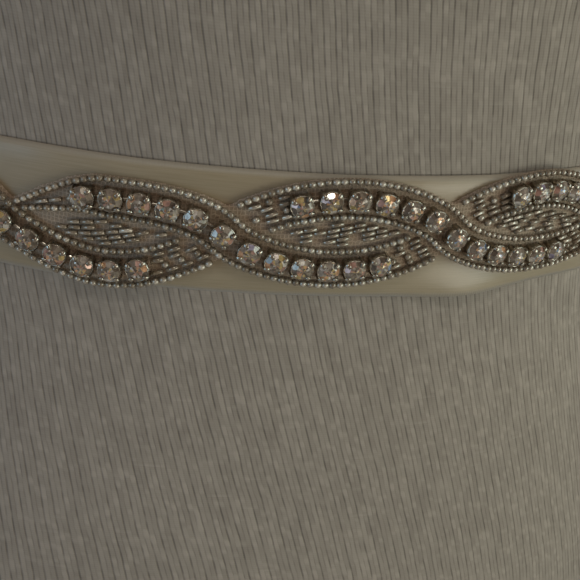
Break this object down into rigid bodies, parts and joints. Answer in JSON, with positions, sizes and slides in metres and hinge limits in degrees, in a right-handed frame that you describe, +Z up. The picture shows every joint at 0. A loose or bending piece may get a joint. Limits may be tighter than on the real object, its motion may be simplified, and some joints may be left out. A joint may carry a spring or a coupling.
{
  "type": "bridal sash on a dress form",
  "caption": "Satin ribbon sash with a braided bead and crystal trim on its front, tied with a flat knot and two tails at the back, round the waist of a plain table-top dress form.",
  "frame": {"origin": "centre of the part's box in plan, on the flat underside that the form stands on", "axes": "+Z up along the form; the trimmed front of the sash faces -Y and the knot and tails are at the back, towards +Y; +X points to the right as seen from the front"},
  "size_m": [0.328, 0.2344, 0.7],
  "materials": {
    "linen": "slubby natural linen cloth, matt",
    "satin": "ivory satin ribbon, soft sheen",
    "beads": "silver-lined clear seed and bugle beads on a mesh backing",
    "metal": "silver-plated prong settings",
    "crystal": "foil-backed faceted crystal"
  },
  "bodies": {
    "root": {"form_torso": "linen", "ribbon_band": "satin", "ribbon_knot": "satin", "ribbon_tail_left": "satin", "ribbon_tail_right": "satin", "trim_backing": "beads", "stone_chain_0": "crystal", "stone_chain_1": "crystal", "stone_chain_2": "crystal", "stone_chain_3": "crystal", "stone_chain_4": "crystal", "stone_chain_5": "crystal", "stone_chain_6": "crystal", "stone_chain_7": "crystal", "stone_chain_8": "crystal", "stone_chain_9": "crystal"}
  },
  "joints": []
}
